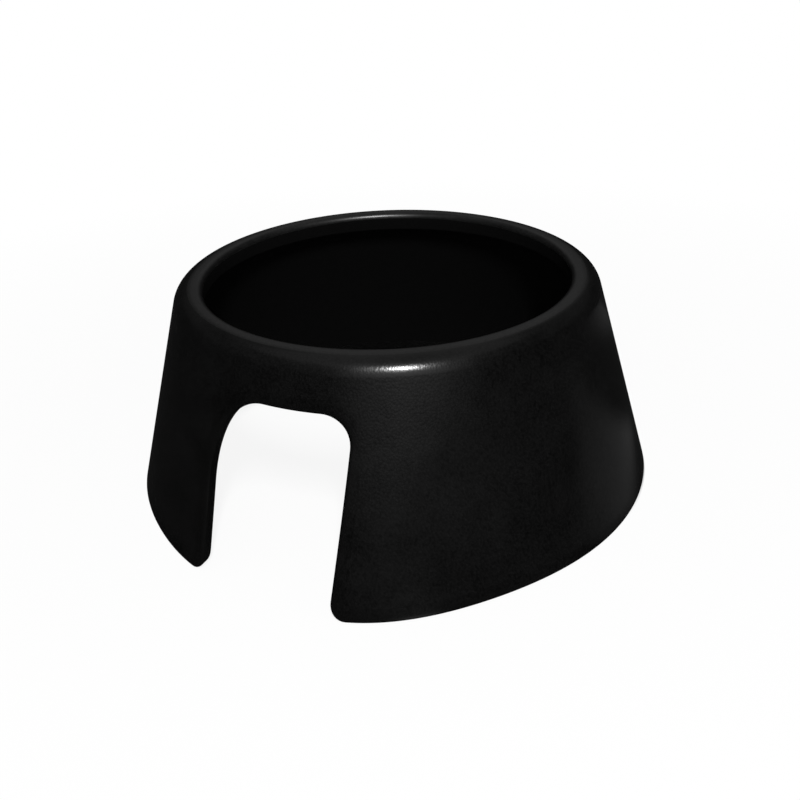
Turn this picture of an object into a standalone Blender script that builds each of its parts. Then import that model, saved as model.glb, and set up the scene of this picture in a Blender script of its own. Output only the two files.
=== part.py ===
"""Conical stand ring for a hair colour bowl: a grained plastic skirt with a notch
in its front, a soft lip clipped into its top, and a soft trim pushed on its free edge.

Metres, +Z up, table at Z 0, origin on the ring's axis, notch facing -Y.
Azimuth is measured about the axis from -Y and grows towards +X.
"""

import math

import bmesh
import bpy

# Overall form
HEIGHT = 0.0545  # table to the top of the lip
BASE_RADIUS = 0.0700  # outer face of the wall, carried down to the table
TOP_RADIUS = 0.0542  # outer face of the wall, carried up to the height of the lip
WALL = 0.0032  # wall thickness, square to the wall

# Rim: a crown that is level round the mouth and runs out over the shoulder into the wall
RIM_WIDTH = 0.0066  # from the wall's top radius in to the clear hole
CROWN_SLOPE = math.radians(20.0)  # how steep the crown is where the shoulder takes over
SHOULDER_ROUND = 0.0050

# The crown's inner part is the lip, which lies in a rebate and clips on the skirt's flange
FLANGE = 0.0024  # thickness of the flange
LIP_WIDTH = 0.0038  # from the clear hole out to the seam
LIP_LEAF = 0.0009  # lip over the flange, at the seam
LIP_WEB = 0.0018  # lip inside the flange's edge
LIP_HOOK = 0.0014  # reach of the lip under the flange
LIP_HOOK_LEAF = 0.0012  # thickness of that hook
LIP_INNER_ROUND = 0.0016
LIP_LAND = 0.0010  # level ring round the mouth, where a bowl sits
LIP_HOOK_ROUND = 0.0005
LIP_SEAM_ROUND = 0.0002

# Notch, seen square on from the front
NOTCH_WIDTH = 0.0355
NOTCH_BRIDGE = 0.0119  # height left between the notch and the top of the lip
NOTCH_RIGHT_CORNER = 0.0070
NOTCH_LEFT_CORNER = 0.0145  # the left corner is longer than it is wide
NOTCH_LEFT_DROP = 0.0220

# The legs beside the notch spring out, the right one further
LEG_AZIMUTH = math.radians(17.0)  # where each leg springs out most, from the notch's middle
RIGHT_KICK = 0.0049  # at the toe
RIGHT_KICK_SPREAD = math.radians(23.2)
LEFT_KICK = 0.0010
LEFT_KICK_SPREAD = math.radians(15.0)

# Trim on the free edge, and the skirt's tongue inside it
TRIM_WIDTH = 0.0032  # from the free edge into the wall
TRIM_BED = 0.0012  # soft material between the free edge and the tongue
TRIM_ROUND = 0.0010
TRIM_INNER_ROUND = 0.0005
TONGUE = 0.0011
TOE_ROUND = 0.0005  # corner of the skirt's own toes, under the trim

CLEARANCE = 0.0003

# How finely round stretches are divided
FAN_AZIMUTH = math.radians(70.0)  # past this the wall's columns stand upright
FAN_STEPS = 14
BACK_STEPS = 56
TOE_STEPS = 4
JAMB_STEPS = 6
TOP_STEPS = 4
RIGHT_CORNER_STEPS = 5
LEFT_CORNER_STEPS = 7
WALL_ROWS = 6
SHOULDER_STEPS = 6
CROWN_STEPS = 2
LIP_CROWN_STEPS = 3
LIP_INNER_STEPS = 3
ROUND_STEPS = 2
LIP_STEPS = 96

lean = math.atan2(BASE_RADIUS - TOP_RADIUS, HEIGHT)
wall_depth = WALL / math.cos(lean)  # the wall's thickness measured level
opening_radius = TOP_RADIUS - RIM_WIDTH
land_start = opening_radius + LIP_INNER_ROUND
crown_start = land_start + LIP_LAND
notch_top = HEIGHT - NOTCH_BRIDGE
tongue_near = (wall_depth - TONGUE) / 2
tongue_far = tongue_near + TONGUE
trim_leaf = tongue_near - CLEARANCE
seat = TRIM_WIDTH + CLEARANCE  # where the skirt's full wall starts, from the free edge
tongue_tip = TRIM_BED + CLEARANCE
toe_radius = seat + TOE_ROUND
legs = ((LEG_AZIMUTH, RIGHT_KICK, RIGHT_KICK_SPREAD), (-LEG_AZIMUTH, LEFT_KICK, LEFT_KICK_SPREAD))


# The shoulder touches the wall and the crown, which fixes its centre and the crown's radius
shoulder_inset = SHOULDER_ROUND / math.cos(lean)
shoulder_reach = SHOULDER_ROUND * math.sin(CROWN_SLOPE)
crown_fall = math.tan(CROWN_SLOPE / 2)
crown_span = BASE_RADIUS - shoulder_inset + shoulder_reach - crown_start
shoulder_height = HEIGHT - SHOULDER_ROUND * math.cos(CROWN_SLOPE) - crown_fall * crown_span
shoulder_height /= 1 - crown_fall * math.tan(lean)
shoulder_radius = BASE_RADIUS - shoulder_inset - shoulder_height * math.tan(lean)
shoulder_start = shoulder_height + SHOULDER_ROUND * math.sin(lean)
shoulder_turn = math.pi / 2 - CROWN_SLOPE - lean
crown_end = shoulder_radius + shoulder_reach
crown_radius = (crown_end - crown_start) / math.sin(CROWN_SLOPE)


def crown_height(radius):
    return HEIGHT - crown_radius + math.sqrt(crown_radius**2 - (radius - crown_start) ** 2)


lip_radius = opening_radius + LIP_WIDTH
rebate_radius = lip_radius + CLEARANCE
flange_top = crown_height(lip_radius) - LIP_LEAF - CLEARANCE
flange_bottom = flange_top - FLANGE
flange_edge = opening_radius + LIP_WEB + CLEARANCE


def clear_scene():
    for thing in list(bpy.data.objects):
        bpy.data.objects.remove(thing, do_unlink=True)


def plastic(name, colour, roughness):
    material = bpy.data.materials.new(name)
    material.use_nodes = True
    shader = material.node_tree.nodes["Principled BSDF"]
    shader.inputs["Base Color"].default_value = (*colour, 1.0)
    shader.inputs["Roughness"].default_value = roughness
    shader.inputs["Metallic"].default_value = 0.0
    return material


def add_object(name, mesh, collection, material):
    mesh.materials.append(material)
    mesh.shade_smooth()
    mesh.set_sharp_from_angle(angle=math.radians(35))
    thing = bpy.data.objects.new(name, mesh)
    collection.objects.link(thing)
    return thing


def polar(azimuth, radius, height):
    return radius * math.sin(azimuth), -radius * math.cos(azimuth), height


def outer_radius(azimuth, height):
    """Outer face of the wall: a cone, with the legs bent out as if held at the shoulder."""
    rise = min(max(height / shoulder_start, 0.0), 1.0)
    bend = (1 - rise) ** 2 * (1 + rise / 2)
    radius = BASE_RADIUS - height * math.tan(lean)
    for leg_azimuth, kick, spread in legs:
        turn = math.remainder(azimuth - leg_azimuth, 2 * math.pi)
        radius += kick * bend * math.exp(-((turn / spread) ** 2))
    return radius


def wall_point(azimuth, height, depth):
    """A point inside the wall, depth in from its outer face, measured level."""
    return polar(azimuth, outer_radius(azimuth, height) - depth, height)


def notch_station(x, z, into_x, into_z):
    """A place on the notch's edge. The notch is cut straight back, so X holds through the wall."""

    def place(inset, depth):
        height = z + inset * into_z
        azimuth = 0.0
        for _ in range(12):
            azimuth = math.asin((x + inset * into_x) / (outer_radius(azimuth, height) - depth))
        return azimuth, height

    return place


def base_station(azimuth):
    """A place on the edge that stands on the table."""
    return lambda inset, depth: (azimuth, inset)


def corner_stations(centre, radii, start, end, steps, outward):
    """Places on a rounded corner of the notch, at degrees from start to end."""
    stations = []
    for step in range(steps + 1):
        angle = math.radians(start + (end - start) * step / steps)
        x = centre[0] + radii[0] * math.cos(angle)
        z = centre[1] + radii[1] * math.sin(angle)
        across = math.cos(angle) / radii[0]
        up = math.sin(angle) / radii[1]
        into = outward / math.hypot(across, up)
        stations.append(notch_station(x, z, across * into, up * into))
    return stations


def line_stations(first, last, into, steps):
    """Places between two corners of the notch, without the corners' own ends."""
    stations = []
    for step in range(1, steps):
        share = step / steps
        x = first[0] + (last[0] - first[0]) * share
        z = first[1] + (last[1] - first[1]) * share
        stations.append(notch_station(x, z, *into))
    return stations


def base_stations(start, end, steps):
    return [base_station(start + (end - start) * step / steps) for step in range(steps)]


def fanned(stations):
    """Pair places with the azimuths where their columns meet the shoulder.

    The columns spread evenly, by length along the edge, between the first and the last.
    """
    edge = [wall_point(*station(0.0, 0.0), 0.0) for station in stations]
    lengths = [0.0]
    for here, there in zip(edge, edge[1:]):
        lengths.append(lengths[-1] + math.dist(here, there))
    first = stations[0](seat, 0.0)[0]
    last = stations[-1](seat, 0.0)[0]
    azimuths = [first + (last - first) * length / lengths[-1] for length in lengths]
    return list(zip(stations, azimuths))


def upright(stations):
    return [(station, station(seat, 0.0)[0]) for station in stations]


def free_edge():
    """Places all along the free edge, round the base and the notch, with their columns' azimuths."""
    side = NOTCH_WIDTH / 2
    right_centre = (side - NOTCH_RIGHT_CORNER, notch_top - NOTCH_RIGHT_CORNER)
    right_radii = (NOTCH_RIGHT_CORNER, NOTCH_RIGHT_CORNER)
    left_centre = (NOTCH_LEFT_CORNER - side, notch_top - NOTCH_LEFT_DROP)
    left_radii = (NOTCH_LEFT_CORNER, NOTCH_LEFT_DROP)
    toe_radii = (toe_radius, toe_radius)
    toe_x = side + toe_radius
    right_toe = corner_stations((toe_x, toe_radius), toe_radii, -90, -180, TOE_STEPS, -1)
    right_jamb = line_stations((side, toe_radius), (side, right_centre[1]), (1, 0), JAMB_STEPS)
    right_turn = corner_stations(right_centre, right_radii, 0, 90, RIGHT_CORNER_STEPS, 1)
    top = line_stations((right_centre[0], notch_top), (left_centre[0], notch_top), (0, 1), TOP_STEPS)
    left_turn = corner_stations(left_centre, left_radii, 90, 180, LEFT_CORNER_STEPS, 1)
    left_jamb = line_stations((-side, left_centre[1]), (-side, toe_radius), (-1, 0), JAMB_STEPS)
    left_toe = corner_stations((-toe_x, toe_radius), toe_radii, 0, -90, TOE_STEPS, -1)
    right_end = right_toe[0](0.0, 0.0)[0]
    left_end = left_toe[-1](0.0, 0.0)[0]
    right_base = base_stations(FAN_AZIMUTH, right_end, FAN_STEPS)
    left_base = base_stations(-FAN_AZIMUTH, left_end, FAN_STEPS)[::-1]
    back = base_stations(-FAN_AZIMUTH, FAN_AZIMUTH - 2 * math.pi, BACK_STEPS)[1:]
    right_side = fanned(right_base + right_toe + right_jamb + right_turn)
    left_side = fanned(left_turn + left_jamb + left_toe + left_base)
    return right_side + upright(top) + left_side + upright(back)


def skirt_section(station, top_azimuth):
    """The skirt cut along one column: tongue, outer face, shoulder, rebate, flange, inner face."""

    def column(depth, top_height):
        low_azimuth, low_height = station(seat, depth)
        points = []
        for row in range(WALL_ROWS + 1):
            share = row / WALL_ROWS
            azimuth = low_azimuth + (top_azimuth - low_azimuth) * share
            height = low_height + (top_height - low_height) * share
            points.append(wall_point(azimuth, height, depth))
        return points

    points = [wall_point(*station(tongue_tip, tongue_near), tongue_near)]
    points.append(wall_point(*station(seat, tongue_near), tongue_near))
    points += column(0.0, shoulder_start)
    for step in range(1, SHOULDER_STEPS + 1):
        angle = lean + shoulder_turn * step / SHOULDER_STEPS
        radius = shoulder_radius + SHOULDER_ROUND * math.cos(angle)
        height = shoulder_height + SHOULDER_ROUND * math.sin(angle)
        points.append(polar(top_azimuth, radius, height))
    for step in range(1, CROWN_STEPS + 1):
        radius = crown_end + (rebate_radius - crown_end) * step / CROWN_STEPS
        points.append(polar(top_azimuth, radius, crown_height(radius)))
    points.append(polar(top_azimuth, rebate_radius, flange_top))
    points.append(polar(top_azimuth, flange_edge, flange_top))
    points.append(polar(top_azimuth, flange_edge, flange_bottom))
    points += column(wall_depth, flange_bottom)[::-1]
    points.append(wall_point(*station(seat, tongue_far), tongue_far))
    points.append(wall_point(*station(tongue_tip, tongue_far), tongue_far))
    return points


def corner_points(centre_u, centre_v, radius, start, end, steps=ROUND_STEPS):
    """Points of a rounded corner of a section, at degrees from start to end."""
    points = []
    for step in range(steps + 1):
        angle = math.radians(start + (end - start) * step / steps)
        points.append((centre_u + radius * math.cos(angle), centre_v + radius * math.sin(angle)))
    return points


def trim_section(station):
    """The trim cut across: a rounded U whose groove takes the skirt's tongue."""
    outline = [(TRIM_WIDTH, 0.0)]
    outline += corner_points(TRIM_ROUND, TRIM_ROUND, TRIM_ROUND, 270, 180)
    inner_centre = wall_depth - TRIM_INNER_ROUND
    outline += corner_points(TRIM_INNER_ROUND, inner_centre, TRIM_INNER_ROUND, 180, 90)
    outline.append((TRIM_WIDTH, wall_depth))
    outline.append((TRIM_WIDTH, wall_depth - trim_leaf))
    outline.append((TRIM_BED, wall_depth - trim_leaf))
    outline.append((TRIM_BED, trim_leaf))
    outline.append((TRIM_WIDTH, trim_leaf))
    return [wall_point(*station(inset, depth), depth) for inset, depth in outline]


def ring_of_sections(name, sections):
    """Loft closed sections of unlike shape into one closed ring."""
    bm = bmesh.new()
    rings = [[bm.verts.new(point) for point in section] for section in sections]
    for here, there in zip(rings, rings[1:] + rings[:1]):
        for low in range(len(here)):
            high = (low + 1) % len(here)
            bm.faces.new((here[low], here[high], there[high], there[low]))
    bmesh.ops.recalc_face_normals(bm, faces=bm.faces)
    mesh = bpy.data.meshes.new(name)
    bm.to_mesh(mesh)
    bm.free()
    return mesh


def lip_outline():
    """Section of the lip: a hook that wraps the flange's edge, run down its outer side first."""
    hook_radius = flange_edge + LIP_HOOK
    groove_radius = flange_edge - CLEARANCE
    leaf_bottom = flange_top + CLEARANCE
    hook_top = flange_bottom - CLEARANCE
    hook_bottom = hook_top - LIP_HOOK_LEAF
    hook = LIP_HOOK_ROUND
    inner = LIP_INNER_ROUND
    crown_edge = lip_radius - LIP_SEAM_ROUND
    points = [(lip_radius, crown_height(lip_radius) - LIP_SEAM_ROUND)]
    points += [(lip_radius, leaf_bottom), (groove_radius, leaf_bottom)]
    points += [(groove_radius, hook_top), (hook_radius, hook_top), (hook_radius, hook_bottom)]
    points += corner_points(opening_radius + hook, hook_bottom + hook, hook, 270, 180)
    points += corner_points(land_start, HEIGHT - inner, inner, 180, 90, LIP_INNER_STEPS)
    for step in range(LIP_CROWN_STEPS + 1):
        radius = crown_start + (crown_edge - crown_start) * step / LIP_CROWN_STEPS
        points.append((radius, crown_height(radius)))
    return points


def section_mesh(name, outline):
    """A closed section of radius and height, standing in the XZ plane."""
    bm = bmesh.new()
    corners = [bm.verts.new((radius, 0.0, height)) for radius, height in outline]
    for here, there in zip(corners, corners[1:] + corners[:1]):
        bm.edges.new((here, there))
    mesh = bpy.data.meshes.new(name)
    bm.to_mesh(mesh)
    bm.free()
    return mesh


def turn_about_axis(thing, steps):
    screw = thing.modifiers.new("Turn", "SCREW")
    screw.axis = "Z"
    screw.steps = steps
    screw.render_steps = steps
    screw.use_merge_vertices = True
    screw.merge_threshold = 0.00001
    screw.use_smooth_shade = True


def main():
    clear_scene()
    collection = bpy.data.collections.new("bowl_stand_ring")
    bpy.context.scene.collection.children.link(collection)
    grained = plastic("black_grained_abs", (0.012, 0.012, 0.013), 0.42)
    soft = plastic("black_soft_elastomer", (0.016, 0.016, 0.017), 0.5)

    edge = free_edge()
    skirt = ring_of_sections("grained_skirt", [skirt_section(*place) for place in edge])
    add_object("grained_skirt", skirt, collection, grained)

    trim = ring_of_sections("edge_trim", [trim_section(station) for station, _ in edge])
    add_object("edge_trim", trim, collection, soft)

    lip = section_mesh("rim_lip", lip_outline())
    turn_about_axis(add_object("rim_lip", lip, collection, soft), LIP_STEPS)


main()
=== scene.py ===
import math

import bmesh
import bpy
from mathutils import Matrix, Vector


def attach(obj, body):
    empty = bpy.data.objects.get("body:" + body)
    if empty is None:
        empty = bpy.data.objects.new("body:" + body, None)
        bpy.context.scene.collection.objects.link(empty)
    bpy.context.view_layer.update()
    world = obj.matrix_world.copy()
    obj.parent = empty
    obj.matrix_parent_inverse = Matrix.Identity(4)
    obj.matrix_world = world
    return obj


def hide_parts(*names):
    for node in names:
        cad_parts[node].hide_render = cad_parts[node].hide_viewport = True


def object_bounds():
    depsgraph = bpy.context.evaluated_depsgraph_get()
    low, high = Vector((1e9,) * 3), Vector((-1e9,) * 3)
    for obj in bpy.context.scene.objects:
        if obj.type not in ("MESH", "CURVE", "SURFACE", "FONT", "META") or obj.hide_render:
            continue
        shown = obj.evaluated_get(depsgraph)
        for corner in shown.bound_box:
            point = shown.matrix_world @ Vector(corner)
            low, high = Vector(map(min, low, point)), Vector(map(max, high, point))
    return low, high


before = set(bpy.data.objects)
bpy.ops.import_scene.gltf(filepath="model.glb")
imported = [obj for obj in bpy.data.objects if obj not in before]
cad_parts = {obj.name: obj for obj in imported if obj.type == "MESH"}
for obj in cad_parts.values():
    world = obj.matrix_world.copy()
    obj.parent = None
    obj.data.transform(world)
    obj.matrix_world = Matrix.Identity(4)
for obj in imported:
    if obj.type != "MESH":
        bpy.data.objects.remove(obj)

cad_low, cad_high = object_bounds()

# Grained skirt: the stand's conical wall, one injection moulding in black ABS with a leather grain
# cut into its mould. Its free edge, round the base and the notch, thins to a tongue for the trim,
# and its top turns in over a rounded shoulder to a rebate and a flange that carry the lip.
HEIGHT = cad_high.z
BASE_RADIUS = 0.0700
TOP_RADIUS = 0.0542
WALL = 0.0032
RIM_WIDTH = 0.0066
CROWN_SLOPE = math.radians(20.0)
SHOULDER_ROUND = 0.0050
LIP_INNER_ROUND = 0.0016
LIP_LAND = 0.0010
LIP_WIDTH = 0.0038
LIP_LEAF = 0.0009
LIP_WEB = 0.0018
FLANGE = 0.0024
CLEARANCE = 0.0003
NOTCH_WIDTH = 0.0355
NOTCH_BRIDGE = 0.0119
NOTCH_RIGHT_CORNER = 0.0070
NOTCH_LEFT_CORNER = 0.0145
NOTCH_LEFT_DROP = 0.0220
LEG_AZIMUTH = math.radians(17.0)
RIGHT_KICK = 0.0049
RIGHT_KICK_SPREAD = math.radians(23.2)
LEFT_KICK = 0.0010
LEFT_KICK_SPREAD = math.radians(15.0)
TRIM_WIDTH = 0.0032
TRIM_BED = 0.0012
TONGUE = 0.0011
TOE_ROUND = 0.0005
SEAM = 0.00001  # what is left open where the soft pieces press against the skirt
GRAIN_FADE = 0.0012  # the grain runs out over this width before the lip
FAN_AZIMUTH = math.radians(70.0)
EDGE_STEP = 0.0008  # spacing of the columns along the notch and the front of the base
BACK_STEP = 0.0012
WALL_ROWS = 44
INNER_ROWS = 14
SHOULDER_STEPS = 16
CROWN_STEPS = 6
SOLVE_STEPS = 12  # rounds of the search for the azimuth of a place beside the notch
SHARP = math.radians(30.0)  # a crease sharper than this shows as an edge

lean = math.atan2(BASE_RADIUS - TOP_RADIUS, HEIGHT)
wall_depth = WALL / math.cos(lean)
opening_radius = TOP_RADIUS - RIM_WIDTH
land_start = opening_radius + LIP_INNER_ROUND
crown_start = land_start + LIP_LAND
notch_top = HEIGHT - NOTCH_BRIDGE
tongue_near = (wall_depth - TONGUE) / 2
tongue_far = tongue_near + TONGUE
seat = TRIM_WIDTH + SEAM
tongue_tip = TRIM_BED + CLEARANCE
toe_radius = TRIM_WIDTH + CLEARANCE + TOE_ROUND
legs = ((LEG_AZIMUTH, RIGHT_KICK, RIGHT_KICK_SPREAD), (-LEG_AZIMUTH, LEFT_KICK, LEFT_KICK_SPREAD))
shoulder_inset = SHOULDER_ROUND / math.cos(lean)
shoulder_reach = SHOULDER_ROUND * math.sin(CROWN_SLOPE)
crown_fall = math.tan(CROWN_SLOPE / 2)
crown_span = BASE_RADIUS - shoulder_inset + shoulder_reach - crown_start
shoulder_height = HEIGHT - SHOULDER_ROUND * math.cos(CROWN_SLOPE) - crown_fall * crown_span
shoulder_height /= 1 - crown_fall * math.tan(lean)
shoulder_radius = BASE_RADIUS - shoulder_inset - shoulder_height * math.tan(lean)
shoulder_start = shoulder_height + SHOULDER_ROUND * math.sin(lean)
shoulder_turn = math.pi / 2 - CROWN_SLOPE - lean
crown_end = shoulder_radius + shoulder_reach
crown_radius = (crown_end - crown_start) / math.sin(CROWN_SLOPE)


def crown_height(radius):
    return HEIGHT - crown_radius + math.sqrt(crown_radius**2 - (radius - crown_start) ** 2)


lip_radius = opening_radius + LIP_WIDTH
rebate_radius = lip_radius + SEAM
flange_top = crown_height(lip_radius) - LIP_LEAF - CLEARANCE
flange_bottom = flange_top - FLANGE
flange_edge = opening_radius + LIP_WEB + CLEARANCE


def polar(azimuth, radius, height):
    """A point by its azimuth about the axis, from -Y towards +X."""
    return Vector((radius * math.sin(azimuth), -radius * math.cos(azimuth), height))


def outer_radius(azimuth, height):
    """Outer face of the wall: a cone, with the legs beside the notch sprung out at their toes."""
    rise = min(max(height / shoulder_start, 0.0), 1.0)
    bend = (1 - rise) ** 2 * (1 + rise / 2)
    radius = BASE_RADIUS - height * math.tan(lean)
    for leg_azimuth, kick, spread in legs:
        turn = math.remainder(azimuth - leg_azimuth, 2 * math.pi)
        radius += kick * bend * math.exp(-((turn / spread) ** 2))
    return radius


def wall_point(azimuth, height, depth):
    return polar(azimuth, outer_radius(azimuth, height) - depth, height)


def notch_station(x, z, into_x, into_z):
    """A place on the notch's edge. The notch is cut straight back, so X holds through the wall."""

    def place(inset, depth):
        height = z + inset * into_z
        azimuth = 0.0
        for _ in range(SOLVE_STEPS):
            azimuth = math.asin((x + inset * into_x) / (outer_radius(azimuth, height) - depth))
        return azimuth, height

    return place


def base_station(azimuth):
    return lambda inset, depth: (azimuth, inset)


def corner_stations(centre, radii, start, end, outward):
    """Places on a rounded corner of the notch, at degrees from start to end."""
    steps = math.ceil(math.radians(abs(end - start)) * max(radii) / EDGE_STEP)
    stations = []
    for step in range(steps + 1):
        angle = math.radians(start + (end - start) * step / steps)
        x = centre[0] + radii[0] * math.cos(angle)
        z = centre[1] + radii[1] * math.sin(angle)
        across = math.cos(angle) / radii[0]
        up = math.sin(angle) / radii[1]
        into = outward / math.hypot(across, up)
        stations.append(notch_station(x, z, across * into, up * into))
    return stations


def line_stations(first, last, into):
    """Places between two corners of the notch, without the corners' own ends."""
    steps = math.ceil(math.dist(first, last) / EDGE_STEP)
    stations = []
    for step in range(1, steps):
        share = step / steps
        x = first[0] + (last[0] - first[0]) * share
        z = first[1] + (last[1] - first[1]) * share
        stations.append(notch_station(x, z, *into))
    return stations


def base_stations(start, end, spacing):
    steps = math.ceil(abs(end - start) * BASE_RADIUS / spacing)
    return [base_station(start + (end - start) * step / steps) for step in range(steps)]


def fanned(stations):
    """Pair places with the azimuths where their columns meet the shoulder, spread by edge length."""
    edge = [wall_point(*station(0.0, 0.0), 0.0) for station in stations]
    lengths = [0.0]
    for here, there in zip(edge, edge[1:]):
        lengths.append(lengths[-1] + (there - here).length)
    first = stations[0](seat, 0.0)[0]
    last = stations[-1](seat, 0.0)[0]
    return [(s, first + (last - first) * run / lengths[-1]) for s, run in zip(stations, lengths)]


def upright(stations):
    return [(station, station(seat, 0.0)[0]) for station in stations]


def free_edge():
    """Places all along the free edge, round the base and the notch, with their columns' azimuths."""
    side = NOTCH_WIDTH / 2
    toe_x = side + toe_radius
    toe_radii = (toe_radius, toe_radius)
    right_radii = (NOTCH_RIGHT_CORNER, NOTCH_RIGHT_CORNER)
    right_centre = (side - NOTCH_RIGHT_CORNER, notch_top - NOTCH_RIGHT_CORNER)
    left_radii = (NOTCH_LEFT_CORNER, NOTCH_LEFT_DROP)
    left_centre = (NOTCH_LEFT_CORNER - side, notch_top - NOTCH_LEFT_DROP)
    right_toe = corner_stations((toe_x, toe_radius), toe_radii, -90, -180, -1)
    right_jamb = line_stations((side, toe_radius), (side, right_centre[1]), (1, 0))
    right_turn = corner_stations(right_centre, right_radii, 0, 90, 1)
    top = line_stations((right_centre[0], notch_top), (left_centre[0], notch_top), (0, 1))
    left_turn = corner_stations(left_centre, left_radii, 90, 180, 1)
    left_jamb = line_stations((-side, left_centre[1]), (-side, toe_radius), (-1, 0))
    left_toe = corner_stations((-toe_x, toe_radius), toe_radii, 0, -90, -1)
    right_end = right_toe[0](0.0, 0.0)[0]
    left_end = left_toe[-1](0.0, 0.0)[0]
    right_base = base_stations(FAN_AZIMUTH, right_end, EDGE_STEP)
    left_base = base_stations(-FAN_AZIMUTH, left_end, EDGE_STEP)[::-1]
    back = base_stations(-FAN_AZIMUTH, FAN_AZIMUTH - 2 * math.pi, BACK_STEP)[1:]
    right_side = fanned(right_base + right_toe + right_jamb + right_turn)
    left_side = fanned(left_turn + left_jamb + left_toe + left_base)
    return right_side + upright(top) + left_side + upright(back)


def skirt_section(station, top_azimuth):
    """Outer points, each with its share of grain, and then inner points of one column of the skirt."""

    def column(inset, depth, top_height, rows):
        low_azimuth, low_height = station(inset, depth)
        points = []
        for row in range(rows + 1):
            share = row / rows
            azimuth = low_azimuth + (top_azimuth - low_azimuth) * share
            height = low_height + (top_height - low_height) * share
            points.append(wall_point(azimuth, height, depth))
        return points

    outer = column(seat, 0.0, shoulder_start, WALL_ROWS)
    for step in range(1, SHOULDER_STEPS + 1):
        angle = lean + shoulder_turn * step / SHOULDER_STEPS
        radius = shoulder_radius + SHOULDER_ROUND * math.cos(angle)
        outer.append(polar(top_azimuth, radius, shoulder_height + SHOULDER_ROUND * math.sin(angle)))
    for step in range(1, CROWN_STEPS + 1):
        radius = crown_end + (rebate_radius - crown_end) * step / CROWN_STEPS
        outer.append(polar(top_azimuth, radius, crown_height(radius)))
    runs = [0.0]
    for here, there in zip(outer, outer[1:]):
        runs.append(runs[-1] + (there - here).length)
    grain = [(runs[-1] - run) / GRAIN_FADE for run in runs]
    inner = [polar(top_azimuth, rebate_radius, flange_top)]
    inner.append(polar(top_azimuth, flange_edge, flange_top))
    inner.append(polar(top_azimuth, flange_edge, flange_bottom))
    inner += column(seat, wall_depth, flange_bottom, INNER_ROWS)[::-1]
    inner.append(wall_point(*station(seat, tongue_far), tongue_far))
    inner.append(wall_point(*station(tongue_tip, tongue_far), tongue_far))
    inner.append(wall_point(*station(tongue_tip, tongue_near), tongue_near))
    inner.append(wall_point(*station(seat, tongue_near), tongue_near))
    return outer, [min(max(share, 0.0), 1.0) for share in grain], inner


edge = free_edge()
sections = [skirt_section(*place) for place in edge]
outer_count = len(sections[0][0])
bm = bmesh.new()
grain_layer = bm.verts.layers.float.new("grain")
rings = []
for outer, grain, inner in sections:
    ring = [bm.verts.new(point) for point in outer + inner]
    for vert, share in zip(ring, grain):
        vert[grain_layer] = share
    rings.append(ring)
for here, there in zip(rings, rings[1:] + rings[:1]):
    for low in range(len(here)):
        high = (low + 1) % len(here)
        face = bm.faces.new((here[low], here[high], there[high], there[low]))
        face.material_index = 0 if 0 < high < outer_count else 1
bmesh.ops.recalc_face_normals(bm, faces=bm.faces)
skirt_mesh = bpy.data.meshes.new("grained_wall")
bm.to_mesh(skirt_mesh)
bm.free()
skirt_mesh.shade_smooth()
skirt_mesh.set_sharp_from_angle(angle=SHARP)
skirt = bpy.data.objects.new("grained_wall", skirt_mesh)
bpy.context.scene.collection.objects.link(skirt)


def linear(hex_colour):
    """An sRGB hex colour as linear RGBA."""
    values = [int(hex_colour[at : at + 2], 16) / 255 for at in (1, 3, 5)]
    return (*[v / 12.92 if v <= 0.04045 else ((v + 0.055) / 1.055) ** 2.4 for v in values], 1.0)


def add_node(tree, kind, settings=None, inputs=None):
    """Adds a node with its settings. An input is a value, or an output socket to link."""
    node = tree.nodes.new(kind)
    for name, value in (settings or {}).items():
        setattr(node, name, value)
    for name, value in (inputs or {}).items():
        if isinstance(value, bpy.types.NodeSocket):
            tree.links.new(value, node.inputs[name])
        else:
            node.inputs[name].default_value = value
    return node


TIMES = {"operation": "MULTIPLY"}
TIMES_PLUS = {"operation": "MULTIPLY_ADD"}
MIXED = {"data_type": "RGBA"}
POLYMER_IOR = 1.5  # of the ABS and of the elastomer
PEBBLE = 0.0005  # spacing of the pebbles of the leather grain
PEBBLE_STRAY = 0.9  # how far they stray from their places, as a share of that
PEBBLE_WANDER = 3 * PEBBLE  # size of the noise that leads them astray
PEBBLE_BLEND = 0.2  # how softly one runs into the next
PEBBLE_STRETCH = 1.35  # the pebbles are this much longer down the wall than across it
PEBBLE_DEPTH = 0.000012  # how far they stand up
PEBBLE_MIDDLE = 0.62  # the relief's middle, between the tops of the pebbles and the valleys
PEBBLE_PALER = 0.85  # how much paler their tops are than their valleys, as a share of the range of tone
PORE = 0.00042  # fine texture on and between the pebbles
PORE_SHARE = 0.35  # its depth beside the pebbles' own
CLOUD = 0.010  # size of the handling marks
CLOUD_RANGE = (0.3, 0.7)  # where the noise that draws them runs from dull to polished


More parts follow.
